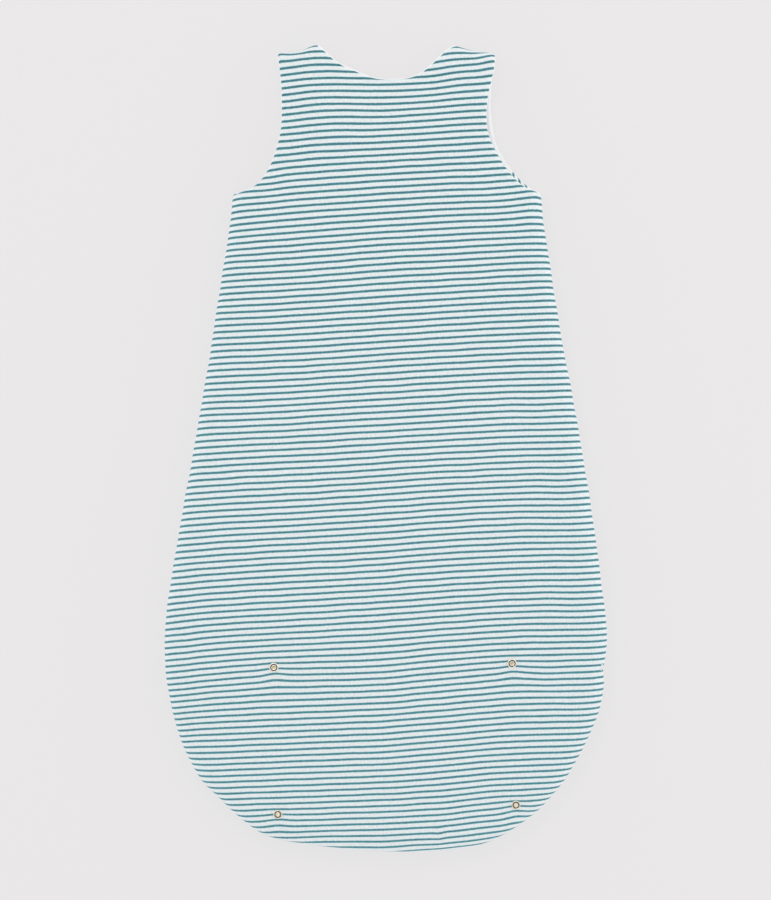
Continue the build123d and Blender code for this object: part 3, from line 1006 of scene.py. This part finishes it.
def rounded(corners, count=6):
    """A closed outline from corners given as x, y and radius."""
    out, n = [], len(corners)
    for i, (x, y, radius) in enumerate(corners):
        here = Vector((x, y))
        back = (Vector(corners[i - 1][:2]) - here).normalized()
        ahead = (Vector(corners[(i + 1) % n][:2]) - here).normalized()
        half = back.angle(ahead) / 2
        if radius <= 0:
            out.append((x, y))
            continue
        reach = radius / math.tan(half)
        centre = here + (back + ahead).normalized() * (radius / math.sin(half))
        first, last = here + back * reach - centre, here + ahead * reach - centre
        sweep = first.angle_signed(last)
        for k in range(count + 1):
            spoke = first.copy()
            spoke.rotate(Matrix.Rotation(-sweep * k / count, 2))
            out.append(tuple(centre + spoke))
    return out


def bevelled(low, high, bevel):
    """Levels of a plate whose edges are rounded."""
    s = bevel * 0.3
    return [(bevel, low), (s, low + s), (0, low + bevel), (0, high - bevel), (s, high - s), (bevel, high)]


def tube(path, radius, count=8):
    """Rows of points round a path of x, y, z."""
    p = np.array(path, float)
    ahead = unit(np.gradient(p, axis=0))
    radius = np.broadcast_to(radius, len(p))
    rows = []
    for place, d, r in zip(p, ahead, radius):
        side = Vector(d).orthogonal() if abs(d[2]) > 0.95 else Vector((-d[1], d[0], 0))
        side.normalize()
        up = Vector(d).cross(side)
        side, up = np.array(side), np.array(up)
        rows.append([tuple(place + r * (math.cos(t) * side + math.sin(t) * up))
                     for t in np.arange(count) * 2 * math.pi / count])
    return rows


# ------------------------------------------------------------------ the snaps
SNAP_Z = 38.0             # the cloth's outer side under a snap
# Sections, as radius and height above the cloth.
# Ring half: rounded rim, a channel coloured as painted shade and painted dark reflection, raised collar and a
# bore that the stud enters.
SOCKET_SECTION = [
    (0.02, 0.05), (4.9, 0.02), (5.22, 0.12), (5.3, 0.42), (5.2, 0.78), (4.95, 1.12), (4.6, 1.3),
    (4.15, 1.34), (3.82, 1.2), (3.66, 0.9), (3.6, 0.62), (3.3, 0.5), (3.02, 0.6), (2.96, 1.2),
    (2.93, 1.9), (2.85, 2.15), (2.68, 2.27), (2.48, 2.27), (2.3, 2.18), (2.2, 2.02), (2.48, 1.98),
    (2.5, 1.72), (2.48, 1.5), (2.18, 1.44), (2.15, 0.9), (2.12, 0.52), (1.9, 0.47), (1.3, 0.35),
    (0.8, 0.28), (0.3, 0.25), (0.02, 0.25)]
# Post half: rounded rim, a channel coloured as painted shade and painted dark reflection, low dome and a
# headed post.
STUD_SECTION = [
    (0.02, 0.05), (4.6, 0.02), (4.93, 0.12), (5.0, 0.38), (4.92, 0.7), (4.7, 0.95), (4.4, 1.05),
    (4.05, 1.02), (3.8, 0.84), (3.66, 0.6), (3.35, 0.48), (3.12, 0.6), (3.02, 1.1), (2.9, 1.42),
    (2.6, 1.52), (2.1, 1.5), (1.7, 1.5), (1.58, 1.62), (1.56, 2.1), (1.62, 2.42), (1.82, 2.55),
    (1.94, 2.72), (1.92, 2.95), (1.75, 3.12), (1.45, 3.2), (1.15, 3.16), (0.7, 3.08), (0.02, 3.02)]


def snap_half(node, body, section, centre, dark, warm):
    """dark and warm are the strips of the section, first and past the last, in those materials; the dark
    strips are painted shade and painted dark reflection.
    """
    half = Solid()
    paint = {**dict.fromkeys(range(*dark), 1), **dict.fromkeys(range(*warm), 2)}
    half.lathe([(r, SNAP_Z + z) for r, z in section], centre, 48, paint)
    thing = half.make("visual_" + node, SNAP_BRIGHT, SNAP_PAINTED_SHADE, SNAP_WARM)
    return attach(declare(thing, [node]), body)


for snap_side, socket_at, stud_at in zip(("left", "right"), SOCKETS, STUDS):
    snap_half("snap_socket_" + snap_side, "bag", SOCKET_SECTION, socket_at, (8, 15), (18, 30))
    snap_half("snap_stud_" + snap_side, "foot", STUD_SECTION, stud_at, (8, 13), (13, 19))


# ------------------------------------------------------------------ the zip
ZIP_Z, ZIP_TOP, ZIP_BOTTOM = 7.0, 350.0, -230.0
TOOTH_PITCH = 3.0
SLIDER_Y = 343.5
# along a stop: how far its section draws in, and the distance from its lower end
STOP_ENDS = ((0.35, 0), (0.08, 0.15), (0, 0.5), (0, 2), (0.08, 2.35), (0.35, 2.5))
STOP_LENGTH = 2.5


def zip_part(solid, node, material, body="bag", flat_angle=40):
    thing = solid.make("visual_" + node, material, flat_angle=flat_angle)
    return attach(declare(thing, [node]), body)


def both_faces(half):
    """A section from its half on one side of the tape's mid-plane."""
    return half + [(x, -z) for x, z in reversed(half)]


def zip_teeth(side, sign):
    """One row: each tooth is a clamp round the tape with a narrowed neck and a head."""
    row = Solid()
    section = both_faces([(0.5, -0.75), (0.62, -1.1), (0.95, -1.34), (1.35, -1.28), (1.75, -1.36),
                          (3.2, -1.4), (3.52, -1.28), (3.6, -1.0), (3.6, -0.31), (1.95, -0.31),
                          (1.82, -0.2)])
    width = [0.40, 0.55, 0.6, 0.46, 0.58, 0.6, 0.54, 0.5, 0.5, 0.56, 0.56]
    width = width + width[::-1]
    start = ZIP_BOTTOM + TOOTH_PITCH * (1.0 if sign > 0 else 0.5)
    for k in range(int((ZIP_TOP - start) / TOOTH_PITCH)):
        y = start + k * TOOTH_PITCH
        rows = []
        for along, shrink in ((-1, 0.12), (-0.78, 0.0), (0.78, 0.0), (1, 0.12)):
            rows.append([(sign * (x + (shrink if x < 2 else -shrink)), y + along * w,
                          ZIP_Z + z - math.copysign(shrink, z) * (abs(z) > 0.5))
                         for (x, z), w in zip(section, width)])
        row.rings(rows, close=False)
    return zip_part(row, "zip_teeth_" + side, ZIP_PLASTIC, flat_angle=55)


def zip_tape(side, sign):
    """Woven tape with a corded inner edge and a fine selvedge line."""
    tape = Solid()
    # distance from the centre line, and half thickness
    section = both_faces([(1.9, 0.1), (2.1, 0.26), (2.5, 0.28), (3.4, 0.27), (4.0, 0.24), (5.5, 0.24),
                          (6.0, 0.27), (6.6, 0.24), (14.6, 0.24), (15.2, 0.27), (15.8, 0.22), (16.0, 0.1)])
    rows = []
    for y in np.arange(ZIP_BOTTOM - 9, ZIP_TOP + 12.1, 3.5):
        closer = 1.7 * float(smooth(ZIP_BOTTOM - 1, ZIP_BOTTOM - 4, y))
        rows.append([(sign * (x - closer * (x < 3)), y, ZIP_Z + h) for x, h in section])
    tape.rings(rows, close=False)
    return zip_part(tape, "zip_tape_" + side, TAPE)


def zip_stops():
    top = Solid()
    for sign in (-1, 1):
        rows = []
        for shrink, y in STOP_ENDS:
            section = both_faces([(0.55 + shrink, -1.2), (0.95, -1.6 + shrink), (3.2, -1.6 + shrink),
                                  (3.6 - shrink, -1.2), (3.6 - shrink, -0.31), (1.9, -0.31)])
            rows.append([(sign * x, ZIP_TOP + y, ZIP_Z + z) for x, z in section])
        top.rings(rows, close=False)
    zip_part(top, "zip_top_stops", ZIP_PLASTIC)
    low = Solid()
    rows = []
    for shrink, y in STOP_ENDS:
        section = both_faces([(1.8, -1.6 + shrink), (3.2, -1.6 + shrink), (3.6 - shrink, -1.2),
                              (3.6 - shrink, -0.31), (1.9, -0.31)])
        y += ZIP_BOTTOM - STOP_LENGTH
        rows.append([(x, y, ZIP_Z + z) for x, z in section]
                    + [(-x, y, ZIP_Z + z) for x, z in reversed(section)])
    low.rings(rows, close=False)
    return zip_part(low, "zip_bottom_stop", ZIP_PLASTIC)


def zip_slider():
    """Two shaped plates with guiding flanges and the wedge that parts the teeth."""
    y = SLIDER_Y
    body = Solid()
    plan = rounded([(-4.1, y - 5.5, 2.2), (4.1, y - 5.5, 2.2), (4.4, y - 1.5, 4), (5.0, y + 1.5, 4),
                    (5.0, y + 5.5, 2.4), (0.9, y + 5.5, 1.2), (0, y + 4.6, 1.2), (-0.9, y + 5.5, 1.2),
                    (-5.0, y + 5.5, 2.4), (-5.0, y + 1.5, 4), (-4.4, y - 1.5, 4)])
    body.prism(plan, bevelled(4.1, 5.28, 0.4))
    body.prism(plan, bevelled(8.72, 9.9, 0.4))
    for sign in (-1, 1):
        wall = [(3.75, y - 3.6), (4.35, y - 3.6), (4.4, y - 1.5), (4.95, y + 1.5), (4.95, y + 3.4),
                (4.25, y + 3.4), (4.1, y + 1.2), (3.75, y - 1.5)]
        wall = wall if sign > 0 else mirrored(wall)
        body.prism(wall, [(0.1, 5.2), (0, 5.35), (0, 6.28), (0.12, 6.4)])
        body.prism(wall, [(0.12, 7.6), (0, 7.72), (0, 8.65), (0.1, 8.8)])
    wedge = rounded([(0, y + 0.6, 0.1), (0.35, y + 2.4, 0.6), (0.3, y + 4.0, 0.2), (-0.3, y + 4.0, 0.2),
                     (-0.35, y + 2.4, 0.6)], 3)
    body.prism(wedge, [(0, 5.2), (0, 8.8)])
    zip_part(body, "zip_slider_body", SLIDER, "zip_slider")
    # an arch in the plane of the centre line, from one end of the plate to the other
    path = [(-4.0, 4.3), (-4.0, 3.4), (-3.9, 2.7), (-3.55, 2.1), (-2.9, 1.75), (-1.5, 1.7), (0, 1.7),
            (1.5, 1.7), (2.9, 1.75), (3.55, 2.1), (3.9, 2.7), (4.0, 3.4), (4.0, 4.3)]
    ahead = unit(np.gradient(np.array(path), axis=0))
    square = [(-1.1, -0.32), (-0.85, -0.57), (0.85, -0.57), (1.1, -0.32), (1.1, 0.32), (0.85, 0.57),
              (-0.85, 0.57), (-1.1, 0.32)]
    bridge = Solid()
    bridge.rings([[(x, y + v - d[1] * t, z + d[0] * t) for x, t in square] for (v, z), d in zip(path, ahead)],
                 close=False)
    return zip_part(bridge, "zip_slider_bridge", SLIDER, "zip_slider")


def moved(line, inset):
    """A closed line moved to its left."""
    p = np.array(line)
    return p + inset * leftward(unit(np.roll(p, -1, axis=0) - np.roll(p, 1, axis=0)))


def zip_pull():
    """Tab with a rim round a sunken field, an eye at its tip, two arms and a cross bar."""
    y, z = SLIDER_Y, 3.2
    tip = y - 28
    half = 0.5            # of the tab's thickness
    outer = rounded([(-3.2, tip, 2.6), (3.2, tip, 2.6), (4.0, tip + 9, 8), (3.4, y - 8, 8),
                     (3.5, y - 0.4, 0.9), (1.7, y - 0.4, 0.4), (1.7, y - 6.4, 1.2), (-1.7, y - 6.4, 1.2),
                     (-1.7, y - 0.4, 0.4), (-3.5, y - 0.4, 0.9), (-3.4, y - 8, 8), (-4.0, tip + 9, 8)])
    field = rounded([(-2.2, tip + 9.5, 1.2), (2.2, tip + 9.5, 1.2), (2.3, y - 9.2, 1.2),
                     (-2.3, y - 9.2, 1.2)])
    eye = [(1.6 * math.cos(t), tip + 4.3 + 1.6 * math.sin(t)) for t in np.arange(24) * math.pi / 12]
    lines = [moved(outer, 0.3), moved(eye, -0.25), moved(field, -0.15)]
    flat, edges = [], []
    for line in lines:
        base = len(flat)
        flat += list(line)
        edges += [(base + i, base + (i + 1) % len(line)) for i in range(len(line))]
    where, triangles, _ = triangulate(flat, edges, 1e-6)
    centres = middles(where, triangles)
    keep = inside(centres, lines[0]) & ~inside(centres, lines[1]) & ~inside(centres, lines[2])
    tab = Solid()
    for up in (-1, 1):
        tab.add([(p.x, p.y, z + up * half) for p in where], [t for t, k in zip(triangles, keep) if k])
        rows = [[(x, v, z + up * h) for x, v in moved(field, inset)]
                for inset, h in ((-0.15, half), (0.15, 0.42), (0.3, 0.26))]
        tab.rings(rows, close=False, caps=False)
        tab.add(rows[-1], [tuple(range(len(field)))])
    rim = ((0.3, half), (0.09, 0.41), (0, 0.22), (0, -0.22), (0.09, -0.41), (0.3, -half))
    for line, side in ((outer, 1), (eye, -0.25 / 0.3)):
        rows = [[(x, v, z + h) for x, v in moved(line, side * inset)] for inset, h in rim]
        tab.rings(rows, close=False, caps=False)
    bar = [(x, y, z) for x in (-3.9, -3.8, -3.5, -3.2, -1.6, 0, 1.6, 3.2, 3.5, 3.8, 3.9)]
    radius = np.array([0.25, 0.5, 0.6, 0.6, 0.56, 0.56, 0.56, 0.6, 0.6, 0.5, 0.25])
    tab.rings(tube(bar, radius, 14), close=False)
    return zip_part(tab, "zip_pull_tab", SLIDER, "zip_pull")


for build_side in (zip_teeth, zip_tape):
    build_side("left", -1)
    build_side("right", 1)
zip_stops()
zip_slider()
zip_pull()


# ------------------------------------------------------------------ flap, garage, labels, stitches
def soft_strip(name, xs, ys, middle, thickness, material, edge=1.2):
    """A closed flat piece on a grid: middle gives the height of its mid-plane at x, y."""
    gx, gy = np.meshgrid(xs, ys)
    x, y = gx.ravel(), gy.ravel()
    z = middle(x, y)
    inset = np.minimum(np.minimum(x - x.min(), x.max() - x), np.minimum(y - y.min(), y.max() - y))
    half = thickness / 2 * (0.35 + 0.65 * np.sqrt(np.clip(inset / edge, 0, 1)))
    rows, cols = gx.shape
    count = rows * cols
    points = np.concatenate([np.stack([x, y, z + half], axis=1), np.stack([x, y, z - half], axis=1)])
    faces = []
    for j in range(rows - 1):
        for i in range(cols - 1):
            a = j * cols + i
            faces.append((a, a + 1, a + cols + 1, a + cols))
            faces.append((a + count + cols, a + count + cols + 1, a + count + 1, a + count))
    rim = list(range(cols)) + [j * cols + cols - 1 for j in range(1, rows)]
    rim += list(range((rows - 1) * cols + cols - 2, (rows - 1) * cols - 1, -1))
    rim += [j * cols for j in range(rows - 2, 0, -1)]
    for a, b in zip(rim, rim[1:] + rim[:1]):
        faces.append((b, a, a + count, b + count))
    thing = make_object(name, points * MM, faces, material)
    both = np.concatenate([np.stack([x, y, 0 * x], axis=1)] * 2) * MM
    set_attribute(thing, "cloth", both)
    set_attribute(thing, "plain", np.zeros(2 * count))
    set_attribute(thing, "stripe", np.tile(stripe_count(x, y) + 0.37, 2))
    return thing


def spaced(low, high, step, edge=0.45):
    """Grid lines with two close ones at each end, for a neat edge."""
    inner = np.linspace(low + 2.4 * edge, high - 2.4 * edge, max(2, round((high - low) / step)))
    return [low, low + 0.5 * edge, low + 1.3 * edge, *inner, high - 1.3 * edge, high - 0.5 * edge, high]


def underlap():
    """The flap behind the zip, which keeps it off the skin."""
    def middle(x, y):
        return 11.1 + 0.12 * np.sin(y / 23) + 0.08 * np.sin(y / 9.5 + x / 7)
    thing = soft_strip("zip_underlap_flap", spaced(-20, 14, 3.0), spaced(-236, 358, 4.0), middle, 1.0, LINING)
    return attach(declare(thing, ["zip_underlap"]), "bag")


def garage():
    """The little cover that the slider parks under."""
    def middle(x, y):
        return 0.95 + 0.1 * (x / 6.8) ** 2 + 0 * y
    thing = soft_strip("zip_garage_cover", spaced(-6.8, 6.8, 1.2), spaced(351, 366, 1.2), middle, 1.4, VELOUR)
    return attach(declare(thing, ["zip_garage"]), "bag")


def labels():
    """Two blank labels, each thinner along its edges."""
    def neck(x, y):
        return MID + LINING_TOP - 0.62 + lining_relief(x, y) - sag(x, y) - 0.28

    def care(x, y):
        return 10.85 + 1.1 * smooth(-204, -225, x) + 0.25 * np.sin((y + 165) / 16)
    for node, xs, ys, middle, flat, under in (
            ("neck_label", (-16, 16), (378, 396), neck, (0.032, 0.018), "back_lining_cloth"),
            ("care_label", (-225, -195), (-190, -140), care, (0.030, 0.050), "front_lining_cloth_left")):
        thing = soft_strip(node + "_satin", spaced(*xs, 1.6), spaced(*ys, 1.6), middle, 0.4, LABEL, 0.6)
        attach(declare(thing, [node]), "bag")


def stitch_row(row, points, thread=0.3, length=2.3, gap=0.7):
    """Short rounded stitches along a path of x, y, z, in Solid row, on a surface that faces down."""
    p = np.array(points, float)
    run = travelled(p)
    swell = np.array([0.5, 0.92, 1, 1, 0.92, 0.5])
    at = gap / 2
    while at + length < run[-1]:
        t = np.linspace(at, at + length, 6)
        path = np.stack([np.interp(t, run, p[:, k]) for k in range(3)], axis=1)
        path[:, 2] += 0.3 * (1 - swell)
        row.rings(tube(path, thread * swell, 6), close=False)
        at += length + gap


STITCH_INSET = 3.2        # from the zip's slot


def stitches():
    """Topstitching on the front, down both sides of the zip and round its lower end."""
    around_end = curve(SLOT_U, 1.0)
    around_end = around_end + STITCH_INSET * leftward(unit(np.gradient(around_end, axis=0)))
    ys = np.arange(362, SLOT_END + 7, -3.0)
    for side, sign in (("left", -1), ("right", 1)):
        row = Solid()
        bend = around_end[around_end[:, 0] * sign > 0.2]
        bend = bend if sign > 0 else bend[::-1]
        line = np.concatenate([np.stack([0 * ys + sign * (SLOT + STITCH_INSET), ys], axis=1), bend])
        z = MID - (CLOTH_TOP - 0.55 + front_relief(line[:, 0], line[:, 1])) - 0.22
        stitch_row(row, np.concatenate([line, z[:, None]], axis=1))
        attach(declare(row.make("zip_topstitch_" + side, THREAD)), "bag")


def bar_tack():
    """A short dense row of thread across the right side seam, at its notch."""
    tack = Solid()
    rim = [(i, h) for i, h in cloth_edges()["side"] if h > 5]
    for y in np.arange(-247.5, -240.5, 0.62):
        edge = float(outline_x(SIDE_R, y))
        insets = np.linspace(1.2, 3.6, 7)
        heights = np.interp(insets, [i for i, _ in rim], [h for _, h in rim])
        path = [(edge - i, y + 0.1 * i, MID + h + 0.12 + 0.2 * math.sin(math.pi * n / 6))
                for n, (i, h) in enumerate(zip(insets, heights))]
        tack.rings(tube(path, 0.34 * np.array([0.5, 0.9, 1, 1, 1, 0.9, 0.5]), 6), close=False)
    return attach(declare(tack.make("seam_bar_tack", THREAD)), "bag")


underlap()
garage()
labels()
stitches()
bar_tack()


# ------------------------------------------------------------------ CAD pieces shown as they are
for cad_name, cad_material in (("snap_springs", SNAP_BRIGHT), ("prong_rings_upper", SNAP_BRIGHT),
                               ("prong_rings_lower", SNAP_BRIGHT), ("snap_patches_upper", FELT),
                               ("snap_patches_lower", FELT)):
    cad_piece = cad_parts[cad_name]
    cad_piece.data.materials.clear()
    cad_piece.data.materials.append(cad_material)


# ------------------------------------------------------------------ floor, light, camera
def build_stage():
    size = 6.0            # half the floor's width, in metres
    corners = [(-size, -size, 0), (size, -size, 0), (size, size, 0), (-size, size, 0)]
    mesh = bpy.data.meshes.new("floor")
    mesh.from_pydata(corners, [], [(0, 1, 2, 3)])
    floor = add_object("floor", mesh)
    floor.location.z = -0.0008
    k = Surface("floor_pale")
    k.set(Roughness=1.0, Specular_IOR_Level=0.0, Base_Color=(0.16, 0.157, 0.159, 1),
          Emission_Color=rgb(234, 232, 233), Emission_Strength=0.818)
    mesh.materials.append(k.material)


def area_lamp(name, place, aim, size, energy):
    data = bpy.data.lights.new(name, "AREA")
    data.shape = "RECTANGLE"
    data.size, data.size_y = size
    data.energy = energy
    lamp = add_object(name, data)
    lamp.location = place
    lamp.rotation_euler = (Vector(aim) - lamp.location).to_track_quat("-Z", "Y").to_euler()


def build_light():
    """A white tent, brighter near the table, with two broad lamps and a small one for the metal."""
    world = bpy.data.worlds.new("studio")
    bpy.context.scene.world = world
    world.use_nodes = True
    background = world.node_tree.nodes["Background"]
    background.inputs["Color"].default_value = (1, 1, 1, 1)
    k = Nodes(world.node_tree)
    up = k.part(k.place("Generated"), "Z")
    above = k.spread(up, 0.15, 0.6, 1.5, 0.68)
    below = k.spread(up, -0.3, 0.0, 0.5, 1.0)
    k.link(k.math("MULTIPLY", above, below), background.inputs["Strength"])
    area_lamp("overhead", (-0.5, 0.8, 2.2), (0, 0, 0), (2.6, 2.2), 6.5)
    area_lamp("side", (1.7, 0.35, 0.75), (0.1, 0, 0), (1.4, 1.0), 3.4)
    area_lamp("small", (-0.35, 0.55, 1.7), (0, -0.2, 0), (0.22, 0.22), 1.6)
    bpy.context.scene.view_settings.view_transform = "Standard"


def build_camera():
    view_height = 1.005       # metres of the table seen from top to bottom
    lens, sensor = 180.0, 36.0
    plane = 0.031             # where that height is measured
    camera = bpy.data.cameras.new("camera")
    camera.lens, camera.sensor_width = lens, sensor
    thing = add_object("camera", camera)
    thing.location = (-0.0009, -0.001, plane + view_height / 2 / (sensor / 2 / lens))
    bpy.context.scene.camera = thing


build_stage()
build_light()
build_camera()
